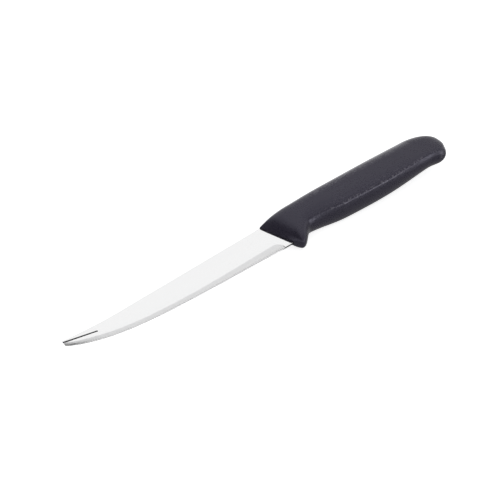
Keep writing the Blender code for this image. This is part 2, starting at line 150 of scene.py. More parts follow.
# %% [markdown]
# ## Curves that set the outline
#
# The edge of a bar knife sweeps up to the tip and runs almost straight to the heel, and its spine is straight
# until it lifts at the tip. A row of hand-set points would show as corners in the polished steel. Bezier
# curves give such lines from a few sizes, as a designer would draw them, and stay smooth at any fineness.

# %% Outline of the blade
BELLY_BEHIND_TIP = 0.062
BELLY_DEPTH = 0.0164
TINE_DEPTH = 0.0010
TIP_SWEEP = 0.036
TIP_RISE = 0.0024
EDGE_SLOPE_AT_TIP = 0.69
EDGE_SLOPE_AT_BELLY = 0.068
EDGE_SLOPE_AT_HEEL = 0.030
TIP_PULL = 0.26
BELLY_PULL = 0.40
CURVE_STEPS = 40


def bezier(start, start_handle, end_handle, end, steps):
    """Points along one curved stretch, without its last point."""
    points = []
    for step in range(steps):
        t = step / steps
        points.append(
            start * (1 - t) ** 3
            + start_handle * 3 * t * (1 - t) ** 2
            + end_handle * 3 * t * t * (1 - t)
            + end * t**3
        )
    return points


def arc(centre, radius, from_angle, to_angle, steps):
    """Points round part of a circle, both ends among them."""
    turn = (to_angle - from_angle) / steps
    angles = [from_angle + turn * step for step in range(steps + 1)]
    return [Vector((centre[0] + radius * math.cos(a), centre[1] + radius * math.sin(a))) for a in angles]


def edge_curve():
    """The uncut edge line, from the lower tine's corner to the heel."""
    tine = Vector((-BLADE_LENGTH, -TINE_DEPTH))
    belly = Vector((-BLADE_LENGTH + BELLY_BEHIND_TIP, -BELLY_DEPTH))
    heel = front_point(-HEEL_DEPTH)
    at_tip = Vector((1.0, -EDGE_SLOPE_AT_TIP)) * BELLY_BEHIND_TIP * TIP_PULL
    at_belly = Vector((1.0, -EDGE_SLOPE_AT_BELLY))
    at_heel = Vector((1.0, -EDGE_SLOPE_AT_HEEL))
    third = (heel.x - belly.x) / 3
    pull = BELLY_BEHIND_TIP * BELLY_PULL
    swept = bezier(tine, tine + at_tip, belly - at_belly * pull, belly, CURVE_STEPS)
    straight = bezier(belly, belly + at_belly * third, heel - at_heel * third, heel, CURVE_STEPS)
    return swept + straight + [heel]


def spine_curve():
    """The spine from where it starts to lift, out to the upper tine's corner."""
    tip = Vector((-BLADE_LENGTH, TIP_RISE))
    bend = Vector((-BLADE_LENGTH + TIP_SWEEP, 0.0))
    lead = tip + Vector((TIP_SWEEP, -TIP_RISE * 2)) / 3
    return bezier(bend, bend - Vector((TIP_SWEEP / 3, 0.0)), lead, tip, CURVE_STEPS // 2) + [tip]


EDGE = edge_curve()
EDGE_LENGTH = sum((b - a).length for a, b in zip(EDGE, EDGE[1:]))
print("edge line in mm:", in_mm([EDGE_LENGTH], 1))

# %% [markdown]
# ## The steel blank
#
# A real blade starts as a stamped plate: the blade's outline with a narrower tang behind it, which ends up
# inside the handle. Both flats are then ground so that the steel thins towards the edge and the tip. A plate
# with Solidify would be equally thick all over, so here a rule gives the thickness at each corner of the
# outline. The ground part runs 2 mm into the handle, where it joins the tang, which keeps the full sheet.

# %% Sizes of the blank
SPINE_THICKNESS = 0.0015
DISTAL_TAPER = 0.0016
EDGE_TAPER = 0.0150
TANG_DROP = 0.0042
TANG_HEIGHT = 0.0110
TANG_LENGTH = 0.070
TANG_NARROWING = 0.0015
TANG_END_STEPS = 16
SHOULDER = 0.0040
SPINE_STEP = 0.0006
FULL_SHEET_FROM = 0.0020
SEAT_GAP = 0.00004
WELD = 0.00002


def flat_height(x, y):
    """Half the steel's thickness on the ground flats."""
    return SPINE_THICKNESS / 2 + DISTAL_TAPER * x + EDGE_TAPER * y


halves = [flat_height(0.0, 0.0), flat_height(0.0, -HEEL_DEPTH)]
print("half thickness in mm, at the spine and at the edge by the heel:", in_mm(halves))

# %% Outlines of the tang and the seated front


def tang_outline(grow):
    """The full sheet under the handle, from its front at the heel round to its front below the spine."""
    inset = SHOULDER + grow / math.cos(FRONT_ANGLE)
    heel = -HEEL_DEPTH - grow
    top = -TANG_DROP + grow
    bottom = -TANG_DROP - TANG_HEIGHT - grow
    step = -SPINE_STEP + grow
    radius = (top - bottom) / 2 - TANG_NARROWING
    centre = (TANG_LENGTH + grow - radius, (top + bottom) / 2)
    return [
        front_point(heel, -FULL_SHEET_FROM + grow),
        front_point(heel, -inset),
        front_point(bottom, -inset),
        *arc(centre, radius, -math.pi / 2, math.pi / 2, TANG_END_STEPS),
        front_point(top, -inset),
        front_point(step, -inset),
        front_point(step, -FULL_SHEET_FROM + grow),
    ]


def seated_front(grow, ahead):
    """The end of the ground blade that runs into the handle, from the heel up to just below the spine."""
    heel = -HEEL_DEPTH - grow
    step = -SPINE_STEP + grow
    return [
        front_point(heel, ahead),
        front_point(heel, -FULL_SHEET_FROM - WELD),
        front_point(step, -FULL_SHEET_FROM - WELD),
        front_point(step, ahead),
    ]


print("tang's outline:", len(tang_outline(0.0)), "corners")

# %% Plates and exact Booleans


def plate(name, outline, height):
    """A closed plate over an outline, whose half thickness at each corner comes from a rule."""
    shape = bmesh.new()
    tops = [shape.verts.new((x, y, height(x, y))) for x, y in outline]
    unders = [shape.verts.new((x, y, -height(x, y))) for x, y in outline]
    shape.faces.new(tops)
    shape.faces.new(reversed(unders))
    for i in range(len(outline)):
        j = (i + 1) % len(outline)
        shape.faces.new((tops[j], tops[i], unders[i], unders[j]))
    return mesh_object(name, shape)


def worked_in(item):
    """A plain mesh of the item with its modifiers worked in, which then come off it."""
    graph = bpy.context.evaluated_depsgraph_get()
    made = bpy.data.meshes.new_from_object(item.evaluated_get(graph))
    item.modifiers.clear()
    return made


def join_solids(item, other, operation):
    """Applies one exact Boolean to the item and removes the other object."""
    step = item.modifiers.new(other.name, "BOOLEAN")
    step.operation = operation
    step.solver = "EXACT"
    step.material_mode = "TRANSFER"
    step.object = other
    item.data = worked_in(item)
    bpy.data.objects.remove(other, do_unlink=True)

# %% Blank with its tang
front_line = [*seated_front(0.0, SEAT_GAP), front_point(0.0, SEAT_GAP)]
blade = plate("blade_steel", EDGE[:-1] + front_line + spine_curve(), flat_height)
tang = plate("tang", tang_outline(0.0), lambda x, y: STOCK_THICKNESS / 2)
join_solids(blade, tang, "UNION")
print("blank:", len(blade.data.vertices), "points")

# %% [markdown]
# ## Geometry Nodes helpers
#
# What repeats along a line is made with Geometry Nodes: one size then changes every copy, which a loop that
# writes points can't offer. The trees are built here in code. One helper adds a node and wires its inputs,
# two do sums, and others give a tree named sizes, end it, and run it on an object.

# %% Nodes and sums


def add_node(tree, kind, links=(), **settings):
    """A node with its settings, whose inputs take a value or another node's output."""
    made = tree.nodes.new(kind)
    for name, value in settings.items():
        setattr(made, name, value)
    for key, value in dict(links).items():
        if isinstance(value, bpy.types.NodeSocket):
            tree.links.new(value, made.inputs[key])
        else:
            made.inputs[key].default_value = value
    return made


def sums(tree, operation, *values):
    links = dict(enumerate(values))
    return add_node(tree, "ShaderNodeMath", links, operation=operation).outputs[0]


def vectors(tree, operation, *values):
    links = dict(enumerate(values))
    return add_node(tree, "ShaderNodeVectorMath", links, operation=operation).outputs[0]

# %% Trees with named sizes


def size_input(tree, name, value):
    """A named size of the tree, with its value."""
    socket = tree.interface.new_socket(name, in_out="INPUT", socket_type="NodeSocketFloat")
    socket.default_value = value
    return socket.identifier


def new_tree(name, sizes):
    """A Geometry Nodes tree, its group input, and the identifier of each named size."""
    tree = bpy.data.node_groups.new(name, "GeometryNodeTree")
    tree.interface.new_socket("Geometry", in_out="INPUT", socket_type="NodeSocketGeometry")
    tree.interface.new_socket("Geometry", in_out="OUTPUT", socket_type="NodeSocketGeometry")
    known = {key: size_input(tree, key, value) for key, value in sizes.items()}
    given = tree.nodes.new("NodeGroupInput")
    return tree, given, known


def finish_tree(tree, geometry, finish, other=None, chosen=None):
    """Ends a tree: instances made real, one material, another on chosen faces, and the result."""
    real = add_node(tree, "GeometryNodeRealizeInstances", {0: geometry})
    dressed = add_node(tree, "GeometryNodeSetMaterial", {0: real.outputs[0], "Material": finish})
    if other is not None:
        links = {0: dressed.outputs[0], "Selection": chosen, "Material": other}
        dressed = add_node(tree, "GeometryNodeSetMaterial", links)
    result = tree.nodes.new("NodeGroupOutput")
    tree.links.new(dressed.outputs[0], result.inputs[0])


def run_tree(item, tree, known, sizes):
    """Runs a tree on an object and keeps the result as a plain mesh."""
    step = item.modifiers.new(tree.name, "NODES")
    step.node_group = tree
    for key, value in sizes.items():
        step[known[key]] = value
    return worked_in(item)

# %% [markdown]
# ## Steel finishes
#
# The flats of the blade are polished with a fine belt that runs along the knife, which leaves faint long
# lines and nearly a mirror. The bevel is ground across the edge by a dressed wheel, so it is rougher and lined
# the other way, and its greyer colour is painted shade that stands for the bevel's darker reflection. Its
# teeth are honed once more, and their lighter colour is a painted highlight. The walls of the slot and the
# heel are rough as the press left them, and their near-black colour is painted shade, for the shade in the
# slot and on the heel's edge. One plain metal couldn't tell these apart. Each finish is a small shader tree:
# noise on Object coordinates, stretched one way, moves the gloss, colour and bump.

# %% Material helpers


def shader_tree(name, base, metallic, roughness, specular=0.5):
    """A material, its Principled shader and its Object coordinates."""
    made = bpy.data.materials.new(name)
    made.use_nodes = True
    shader = made.node_tree.nodes["Principled BSDF"]
    shader.inputs["Base Color"].default_value = (*base, 1.0)
    shader.inputs["Metallic"].default_value = metallic
    shader.inputs["Roughness"].default_value = roughness
    shader.inputs["Specular IOR Level"].default_value = specular
    place = made.node_tree.nodes.new("ShaderNodeTexCoord").outputs["Object"]
    return made, shader, place


def stretched_noise(tree, place, scale, detail, seed=0.0):
    """Noise whose grain is as many per metre as the scale says, along each axis."""
    spot = add_node(
        tree, "ShaderNodeMapping", {"Vector": place, "Scale": scale, "Location": (seed, seed, seed)}
    )
    links = {"Vector": spot.outputs[0], "Scale": 1.0, "Detail": detail, "Roughness": 0.55}
    return add_node(tree, "ShaderNodeTexNoise", links).outputs["Fac"]


def ramp(tree, noise, low, high):
    """Spreads the middle of a noise, where nearly all of it lies, over a range of values."""
    links = {"Value": noise, "From Min": 0.3, "From Max": 0.7, "To Min": low, "To Max": high}
    return add_node(tree, "ShaderNodeMapRange", links).outputs[0]


def blend_colours(tree, share, first, second):
    """Goes from the first colour, which may come from a node, to the second."""
    mix = add_node(tree, "ShaderNodeMix", {0: share}, data_type="RGBA")
    if isinstance(first, bpy.types.NodeSocket):
        tree.links.new(first, mix.inputs[6])
    else:
        mix.inputs[6].default_value = (*first, 1.0)
    mix.inputs[7].default_value = (*second, 1.0)
    return mix.outputs[2]


def bump(tree, height, distance, strength, under=None):
    """Tilts the shading by a noise, as relief of the given height in metres, on top of a coarser one."""
    links = {"Height": height, "Distance": distance, "Strength": strength}
    if under is not None:
        links["Normal"] = under
    return add_node(tree, "ShaderNodeBump", links).outputs[0]


def wire(tree, shader, roughness, colour, normal):
    """Gives a shader the gloss, colour and relief that a finish's noises make."""
    for name, socket in (("Roughness", roughness), ("Base Color", colour), ("Normal", normal)):
        tree.links.new(socket, shader.inputs[name])

# %% Polished flats
BELT_LINES = (40.0, 5200.0, 5200.0)
BELT_CLOUDS = (60.0, 160.0, 160.0)


def polished_flats():
    """Faint long belt lines and a gloss that drifts slowly, nearly a mirror."""
    made, shader, place = shader_tree("polished_flats", (0.88, 0.88, 0.885), 1.0, 0.2)
    tree = made.node_tree
    lines = stretched_noise(tree, place, BELT_LINES, 3.0)
    clouds = stretched_noise(tree, place, BELT_CLOUDS, 2.0, 7.0)
    rough = sums(tree, "ADD", ramp(tree, lines, 0.0, 0.04), ramp(tree, clouds, 0.10, 0.15))
    colour = blend_colours(tree, clouds, (0.885, 0.888, 0.893), (0.912, 0.910, 0.910))
    wire(tree, shader, rough, colour, bump(tree, lines, 0.0000010, 0.35))
    return made


POLISHED = polished_flats()
print(POLISHED.name, "has", len(POLISHED.node_tree.nodes), "nodes")

# %% Ground bevel in painted shade and honed teeth with a painted highlight
WHEEL_LINES = (7000.0, 260.0, 260.0)
WHEEL_CLOUDS = (400.0, 400.0, 400.0)


def ground_steel(name, dark, light):
    """Short wheel lines across the edge, between a darker and a lighter grey."""
    made, shader, place = shader_tree(name, light, 1.0, 0.34)
    tree = made.node_tree
    lines = stretched_noise(tree, place, WHEEL_LINES, 3.0, 3.0)
    clouds = stretched_noise(tree, place, WHEEL_CLOUDS, 2.0, 11.0)
    rough = sums(tree, "ADD", ramp(tree, lines, 0.0, 0.12), ramp(tree, clouds, 0.24, 0.32))
    colour = blend_colours(tree, lines, dark, light)
    wire(tree, shader, rough, colour, bump(tree, lines, 0.0000022, 0.6))
    return made


# Painted shade: the bevel's greyer colour stands for its darker reflection. Painted highlight: the teeth's
# lighter colour.
GROUND_AND_SHADE = ground_steel("ground_bevel_painted_shade", (0.74, 0.74, 0.745), (0.83, 0.83, 0.835))
HONED_AND_HIGHLIGHT = ground_steel("honed_teeth_painted_highlight", (0.76, 0.76, 0.765), (0.91, 0.91, 0.91))
print(GROUND_AND_SHADE.name, "and", HONED_AND_HIGHLIGHT.name, "have", len(GROUND_AND_SHADE.node_tree.nodes), "nodes each")

# %% Stamped edges, dark with painted shade
PRESS_LINES = (3000.0, 3000.0, 300.0)


def stamped_edge_and_shade():
    """Rough lines through the thickness of the sheet, where a press sheared it, in a near-black that is painted
    shade.
    """
    made, shader, place = shader_tree("stamped_edge_and_shade", (0.06, 0.06, 0.062), 1.0, 0.5)
    tree = made.node_tree
    lines = stretched_noise(tree, place, PRESS_LINES, 3.0, 4.0)
    rough = ramp(tree, lines, 0.42, 0.62)
    colour = blend_colours(tree, lines, (0.025, 0.025, 0.027), (0.07, 0.07, 0.07))
    wire(tree, shader, rough, colour, bump(tree, lines, 0.000004, 0.6))
    return made


STAMPED_AND_SHADE = stamped_edge_and_shade()
print(STAMPED_AND_SHADE.name, "has", len(STAMPED_AND_SHADE.node_tree.nodes), "nodes")

# %% [markdown]
# ## The grinding wheel
#
# The serration is cut by a wheel that is dressed with fine rings. Where it passes, it leaves a shallow bevel
# full of small flutes, and the crests between them end in teeth at the edge. A second, steeper pass next to
# the edge hones the teeth. A hundred small cutters would cost a Boolean each, so the wheel's working face is
# one long body that follows the edge line. Geometry Nodes suit it: the edge is resampled, a section with five
# corners is swept along it, and each point is then moved to where the bevel's two slopes and the wave of the
# flutes put it. The bevel's width, and how the wheel lifts off at the heel, ride along as attributes.

# %% A smooth line read from a few sizes


def smooth_line(points, place):
    """Reads a line that runs smoothly through (place, size) points and never swings past a point."""
    xs = [point[0] for point in points]
    ys = [point[1] for point in points]
    place = min(max(place, xs[0]), xs[-1])
    spans = [b - a for a, b in zip(xs, xs[1:])]
    slopes = [(b - a) / span for a, b, span in zip(ys, ys[1:], spans)]
    tangents = [slopes[0]]
    for before, after, left, right in zip(slopes, slopes[1:], spans, spans[1:]):
        if before * after <= 0:
            tangents.append(0.0)
            continue
        near = 2 * right + left
        far = right + 2 * left
        tangents.append((near + far) / (near / before + far / after))
    tangents.append(slopes[-1])
    index = max(i for i in range(len(spans)) if place >= xs[i])
    t = (place - xs[index]) / spans[index]
    rise = ys[index] * (1 + 2 * t) * (1 - t) ** 2 + ys[index + 1] * t * t * (3 - 2 * t)
    swing = tangents[index] * t * (1 - t) ** 2 - tangents[index + 1] * t * t * (1 - t)
    return rise + swing * spans[index]


example = smooth_line(((0, 0), (1, 2), (2, 3)), 0.5)
print("a line through 0, 2 and 3, read halfway to 2:", round(example, 3))

# %% Path of the wheel
PLAIN_HEEL = 0.0052
RUN_OUT = 0.0044
LIFT_FROM = EDGE_LENGTH - PLAIN_HEEL - RUN_OUT
BEVEL_WIDTHS = ((0.0, 0.0015), (0.0186, 0.0026), (BELLY_BEHIND_TIP, 0.0027), (LIFT_FROM, 0.0049))
WHEEL_LEAD = 0.0020
PATH_STEP = 0.0002


def wheel_lift(place):
    """How far the wheel has moved off the edge near the heel, following its own round."""
    into = min(max((place - LIFT_FROM) / RUN_OUT, 0.0), 1.0)
    return 1 - math.sqrt(1 - into * into)


def walk(points, spacing):
    """Evenly spaced (place, point) along a line of points."""
    place = 0.0
    wanted = 0.0
    stops = []
    for a, b in zip(points, points[1:]):
        length = (b - a).length
        while wanted <= place + length:
            stops.append((wanted, a.lerp(b, (wanted - place) / length)))
            wanted += spacing
        place += length
    return stops


def wheel_path():
    """The edge line as a mesh of short steps, each point with the bevel's width and the wheel's lift."""
    lead = (EDGE[0] - EDGE[1]).normalized() * WHEEL_LEAD
    last = EDGE_LENGTH + WHEEL_LEAD - PLAIN_HEEL + 2 * RUN_OUT
    stops = [stop for stop in walk([EDGE[0] + lead] + EDGE, PATH_STEP) if stop[0] <= last]
    data = bpy.data.meshes.new("wheel_path")
    pairs = [(i, i + 1) for i in range(len(stops) - 1)]
    data.from_pydata([(p.x, p.y, 0.0) for _, p in stops], pairs, [])
    places = [place - WHEEL_LEAD for place, _ in stops]
    widths = [smooth_line(BEVEL_WIDTHS, max(place, 0.0)) for place in places]
    for name, values in (("bevel_width", widths), ("wheel_lift", [wheel_lift(p) for p in places])):
        data.attributes.new(name, "FLOAT", "POINT").data.foreach_set("value", values)
    return add_object("wheel_path", data)


path = wheel_path()
print("wheel path:", len(path.data.vertices), "points")

# %% Sizes of the fluted wheel
SECTION_CORNERS = 5
SECTION_RADIUS = 0.001
WHEEL_SIZES = {
    "Tooth Pitch": 0.00125,
    "Samples per Tooth": 14.0,
    "Flute Depth": 0.00036,
    "Flute Fade": 0.000015,
    "Serrated Share": 0.52,
    "First Slope": 0.70,
    "Edge Land": 0.00006,
    "Reach Past Edge": 0.0012,
    "Reach Past Bevel": 0.0006,
    "Body Height": 0.0028,
    "Lead": WHEEL_LEAD,
    "Spine Thickness": SPINE_THICKNESS,
    "Distal Taper": DISTAL_TAPER,
    "Edge Taper": EDGE_TAPER,
}
print("teeth are", in_mm([WHEEL_SIZES["Tooth Pitch"]])[0], "mm apart")

# %% Helpers for the wheel's tree


def read_attribute(tree, name):
    return add_node(tree, "GeometryNodeInputNamedAttribute", {"Name": name}).outputs[0]


def capture(tree, geometry, value, kind):
    """Stores a value on each point and returns the geometry and the stored value."""
    made = tree.nodes.new("GeometryNodeCaptureAttribute")
    made.capture_items.new(kind, "kept")
    tree.links.new(geometry, made.inputs[0])
    tree.links.new(value, made.inputs[1])
    return made.outputs[0], made.outputs[1]


def steel_half(tree, given, spot):
    """Half the steel's thickness at a spot, by the same rule as the blank."""
    parts = add_node(tree, "ShaderNodeSeparateXYZ", {0: spot})
    along = sums(tree, "MULTIPLY", parts.outputs[0], given.outputs["Distal Taper"])
    up = sums(tree, "MULTIPLY", parts.outputs[1], given.outputs["Edge Taper"])
    half = sums(tree, "MULTIPLY", given.outputs["Spine Thickness"], 0.5)
    return sums(tree, "ADD", half, sums(tree, "ADD", along, up))

# %% Section swept along the edge


def swept_section(tree, size):
    """The section swept along the edge line, and the place, point, heading and corner that it keeps."""
    step = sums(tree, "DIVIDE", size["Tooth Pitch"], size["Samples per Tooth"])
    path = add_node(tree, "GeometryNodeMeshToCurve", {0: size["Geometry"]}).outputs[0]
    even = add_node(tree, "GeometryNodeResampleCurve", {"Curve": path, "Length": step}, mode="LENGTH")
    walked = tree.nodes.new("GeometryNodeSplineParameter").outputs["Length"]
    place = sums(tree, "SUBTRACT", walked, size["Lead"])
    line, place = capture(tree, even.outputs[0], place, "FLOAT")
    here = tree.nodes.new("GeometryNodeInputPosition").outputs[0]
    line, point = capture(tree, line, here, "VECTOR")
    along = tree.nodes.new("GeometryNodeInputTangent").outputs[0]
    line, along = capture(tree, line, along, "VECTOR")
    links = {"Resolution": SECTION_CORNERS, "Radius": SECTION_RADIUS}
    section = add_node(tree, "GeometryNodeCurvePrimitiveCircle", links)
    corner = tree.nodes.new("GeometryNodeInputIndex").outputs[0]
    profile, corner = capture(tree, section.outputs[0], corner, "FLOAT")
    links = {"Curve": line, "Profile Curve": profile, "Fill Caps": True}
    body = add_node(tree, "GeometryNodeCurveToMesh", links).outputs[0]
    return body, place, point, along, corner

# %% Fluted wheel with Geometry Nodes


def fluted_wheel_tree():
    """The wheel's tree: corners 0, 1 and 2 make its working face, and 2 and 3 lie outside the edge."""
    tree, given, known = new_tree("fluted_wheel", WHEEL_SIZES)
    size = given.outputs
    body, place, point, along, corner = swept_section(tree, size)

    # Each of these four adds one Math node to the tree.
    kinds = ("ADD", "SUBTRACT", "MULTIPLY", "DIVIDE")
    plus, minus, times, over = (partial(sums, tree, kind) for kind in kinds)
    middle = sums(tree, "COMPARE", corner, 1.0, 0.1)
    outside = sums(tree, "COMPARE", corner, 2.5, 0.6)
    above = sums(tree, "GREATER_THAN", corner, 2.5)
    inside = minus(minus(1.0, outside), middle)
    width = read_attribute(tree, "bevel_width")
    lift = read_attribute(tree, "wheel_lift")
    inner = plus(width, size["Reach Past Bevel"])
    outer = times(size["Reach Past Edge"], -1.0)
    serrated = times(width, size["Serrated Share"])
    from_edge = plus(times(outside, outer), times(inside, inner))
    from_edge = plus(from_edge, times(middle, serrated))
    inward = vectors(tree, "CROSS_PRODUCT", (0.0, 0.0, 1.0), along)
    scaled = add_node(tree, "ShaderNodeVectorMath", {0: inward, "Scale": from_edge}, operation="SCALE")
    spot = vectors(tree, "ADD", point, scaled.outputs[0])

    wave = times(over(place, size["Tooth Pitch"]), math.pi)
    flute = sums(tree, "ABSOLUTE", sums(tree, "SINE", wave))
    faded = plus(times(outside, size["Flute Depth"]), times(middle, size["Flute Fade"]))
    slope = over(minus(times(steel_half(tree, given, point), 2.0), size["Edge Land"]), width)
    moved = times(plus(width, size["Reach Past Edge"]), lift)
    reach = minus(minus(width, moved), from_edge)
    past = sums(tree, "MAXIMUM", plus(minus(reach, width), serrated), 0.0)
    steeper = over(minus(1.0, size["First Slope"]), size["Serrated Share"])
    both = plus(times(reach, size["First Slope"]), times(past, steeper))
    depth = plus(times(slope, both), times(faded, flute))
    ground = minus(steel_half(tree, given, spot), depth)
    height = plus(times(above, size["Body Height"]), times(minus(1.0, above), ground))
    flat = add_node(tree, "ShaderNodeSeparateXYZ", {0: spot})
    links = {0: flat.outputs[0], 1: flat.outputs[1], 2: height}
    target = add_node(tree, "ShaderNodeCombineXYZ", links).outputs[0]
    shaped = add_node(tree, "GeometryNodeSetPosition", {"Geometry": body, "Position": target})
    teeth = sums(tree, "COMPARE", corner, 1.5, 0.2)
    finish_tree(tree, shaped.outputs[0], GROUND_AND_SHADE, HONED_AND_HIGHLIGHT, teeth)
    return tree, known


wheel_tree, wheel_inputs = fluted_wheel_tree()
print("the wheel's tree has", len(wheel_tree.nodes), "nodes")

# %% Run the wheel's tree
wheel_mesh = run_tree(path, wheel_tree, wheel_inputs, WHEEL_SIZES)
bpy.data.objects.remove(path, do_unlink=True)
shape = bmesh.new()
shape.from_mesh(wheel_mesh)
bmesh.ops.triangulate(shape, faces=shape.faces)
wheel = mesh_object("wheel", shape)
wheel.data.materials.append(GROUND_AND_SHADE)
wheel.data.materials.append(HONED_AND_HIGHLIGHT)
flutes = round(EDGE_LENGTH / WHEEL_SIZES["Tooth Pitch"])
print("wheel:", len(wheel.data.vertices), "points,", flutes, "flutes along the whole edge line")

# %% [markdown]
# ## Grinding and cutting
#
# The tang gets its three holes, where the plastic grips it. The tip is split by a slot that makes the fork,
# and the wheel grinds the left face only. Exact Booleans take each of them out of the steel, and a cut wall
# takes its cutter's finish, so the bevel and the teeth arrive with theirs. The holes sit in a row at even
# steps, so Geometry Nodes place them too.

# %% Tang holes with Geometry Nodes
HOLE_MARGIN = 0.0090
HOLES_AT = -TANG_DROP - TANG_HEIGHT / 2
HOLE_SIZES = {
    "Count": 3.0,
    "Diameter": 0.0050,
    "Pin Length": 0.004,
    "First": front_at(HOLES_AT) + SHOULDER + HOLE_MARGIN,
    "Last": TANG_LENGTH - HOLE_MARGIN,
    "Height": HOLES_AT,
}


def hole_row_tree():
    """A row of upright pins at even steps from the first to the last."""
    tree, given, known = new_tree("tang_hole_row", HOLE_SIZES)
    size = given.outputs
    last = sums(tree, "SUBTRACT", size["Count"], 1.0)
    apart = sums(tree, "DIVIDE", sums(tree, "SUBTRACT", size["Last"], size["First"]), last)
    start = add_node(tree, "ShaderNodeCombineXYZ", {0: size["First"], 1: size["Height"]}).outputs[0]
    offset = add_node(tree, "ShaderNodeCombineXYZ", {0: apart}).outputs[0]
    links = {"Count": size["Count"], "Start Location": start, "Offset": offset}
    row = add_node(tree, "GeometryNodeMeshLine", links, mode="OFFSET").outputs[0]
    radius = sums(tree, "MULTIPLY", size["Diameter"], 0.5)
    links = {"Vertices": 32, "Radius": radius, "Depth": size["Pin Length"]}
    pin = add_node(tree, "GeometryNodeMeshCylinder", links)
    placed = add_node(tree, "GeometryNodeInstanceOnPoints", {"Points": row, "Instance": pin.outputs[0]})
    finish_tree(tree, placed.outputs[0], POLISHED)
    return tree, known


def hole_pins(shrink):
    """Pins that cut the tang's holes. Shrunk a little, they are the plastic plugs in them."""
    sizes = dict(HOLE_SIZES, Diameter=HOLE_SIZES["Diameter"] - 2 * shrink)
    row = add_object("hole_row", bpy.data.meshes.new("hole_row"))
    row.data = run_tree(row, hole_tree, hole_inputs, sizes)
    return row


hole_tree, hole_inputs = hole_row_tree()
print("holes from", *in_mm([HOLE_SIZES["First"], HOLE_SIZES["Last"]], 1), "mm behind the front")

# %% Fork slot, holes and serration
SLOT_LENGTH = 0.0186
SLOT_WIDTH = 0.0010
SLOT_MOUTH_RISE = 0.0010
SLOT_DROP = 0.0048
SLOT_END_STEPS = 14


def slot_outline():
    """Straight sides and a round inner end, starting ahead of the tip."""
    mouth = Vector((-BLADE_LENGTH, SLOT_MOUTH_RISE))
    run = math.sqrt(SLOT_LENGTH**2 - SLOT_DROP**2)
    along = Vector((run, -SLOT_DROP)).normalized()
    across = Vector((-along.y, along.x)) * SLOT_WIDTH / 2
    heading = math.atan2(along.y, along.x)
    end = mouth + along * (SLOT_LENGTH - SLOT_WIDTH / 2)
    start = mouth - along * WHEEL_LEAD
    round_end = arc(end, SLOT_WIDTH / 2, heading - math.pi / 2, heading + math.pi / 2, SLOT_END_STEPS)
    return [start - across, *round_end, start + across]


blade.data.materials.clear()
blade.data.materials.append(POLISHED)
join_solids(blade, hole_pins(0.0), "DIFFERENCE")
join_solids(blade, plate("slot", slot_outline(), lambda x, y: STOCK_THICKNESS), "DIFFERENCE")
join_solids(blade, wheel, "DIFFERENCE")
print("ground blade:", count_triangles(blade), "triangles")

# %% Walls of the slot, the heel and the tang, dark with painted shade
UPRIGHT = 0.3
ON_SPINE = -0.0002
ON_TIP = -BLADE_LENGTH + 0.0002

# Painted shade: the near-black stamped finish darkens the slot's walls and the heel's edge, where shade falls.
blade.data.materials.append(STAMPED_AND_SHADE)
for face in blade.data.polygons:
    upright = abs(face.normal.z) < UPRIGHT
    polished = blade.data.materials[face.material_index] == POLISHED
    at_tip = face.center.x < ON_TIP
    at_spine = face.center.y > ON_SPINE and face.center.x < 0.0
    if upright and polished and not at_tip and not at_spine:
        face.material_index = len(blade.data.materials) - 1
print("finishes of the blade:", [finish.name for finish in blade.data.materials])

# %% [markdown]
# ## Softening the spine
#
# A stamped edge isn't knife sharp: tumbling leaves it with a tiny round that catches the light as a thin
# line. A Bevel modifier would also round the teeth, so the long edges of the spine are picked by their place,
# and the serration stays crisp. Booleans leave points that all but touch, so the seams are closed before and
# after. The flutes are smooth and meet the flat in a line: shading is split where faces turn by more than 12
# degrees.

# %% Rounded spine and smooth flutes
SPINE_ROUND = 0.00016
SPARED_FRONT = 0.0020
LEVEL_WITHIN = 0.0001
SEAM = 0.0000005
SQUARE_CORNER = math.radians(60)
SHARP_FROM = math.radians(12)


def soften_spine(shape):
    """Rounds both long edges of the spine, up to just before the handle."""
    close_seams(shape, SEAM)

    def on_spine(vertex):
        return vertex.co.x < front_at(0.0, SPARED_FRONT) and vertex.co.y > ON_SPINE

    corners = []
    for edge in shape.edges:
        square = len(edge.link_faces) == 2 and edge.calc_face_angle(0.0) >= SQUARE_CORNER
        level = abs(edge.verts[0].co.z - edge.verts[1].co.z) < LEVEL_WITHIN
        if square and level and all(on_spine(vertex) for vertex in edge.verts):
            corners.append(edge)
    round_edges(shape, corners, SPINE_ROUND)
    close_seams(shape, SEAM)
    print("rounded", len(corners), "edges of the spine")


def settle(item, sharp_from):
    """Lays a drawn piece down in the frame, inside its mesh, and sets its shading."""
    item.data.transform(LAID_DOWN)
    item.data.update()
    for face in item.data.polygons:
        face.use_smooth = True
    item.data.set_sharp_from_angle(angle=sharp_from)
    low = [min(vertex.co[axis] for vertex in item.data.vertices) for axis in range(3)]
    high = [max(vertex.co[axis] for vertex in item.data.vertices) for axis in range(3)]
    print(item.name, "box in mm:", in_mm(low + high), count_triangles(item), "triangles")


rework(blade, soften_spine)
settle(blade, SHARP_FROM)

# %% [markdown]
# ## The handle's long lines
#
# The handle fills the hand: a slanted front that grips the blade, a finger guard below it, a neck for the
# forefinger, a swelling grip, and a butt that hooks down so that it can't slip. It could be sculpted or
# subdivided from a cage, but then no size could be read off it. Here a few long lines give the top, the
# bottom, the thickness and the facets at each place along it. Reading all of them at one place gives a
# cross-section, and the skin runs through those. Because the lines are smooth, it can be as fine as needed.

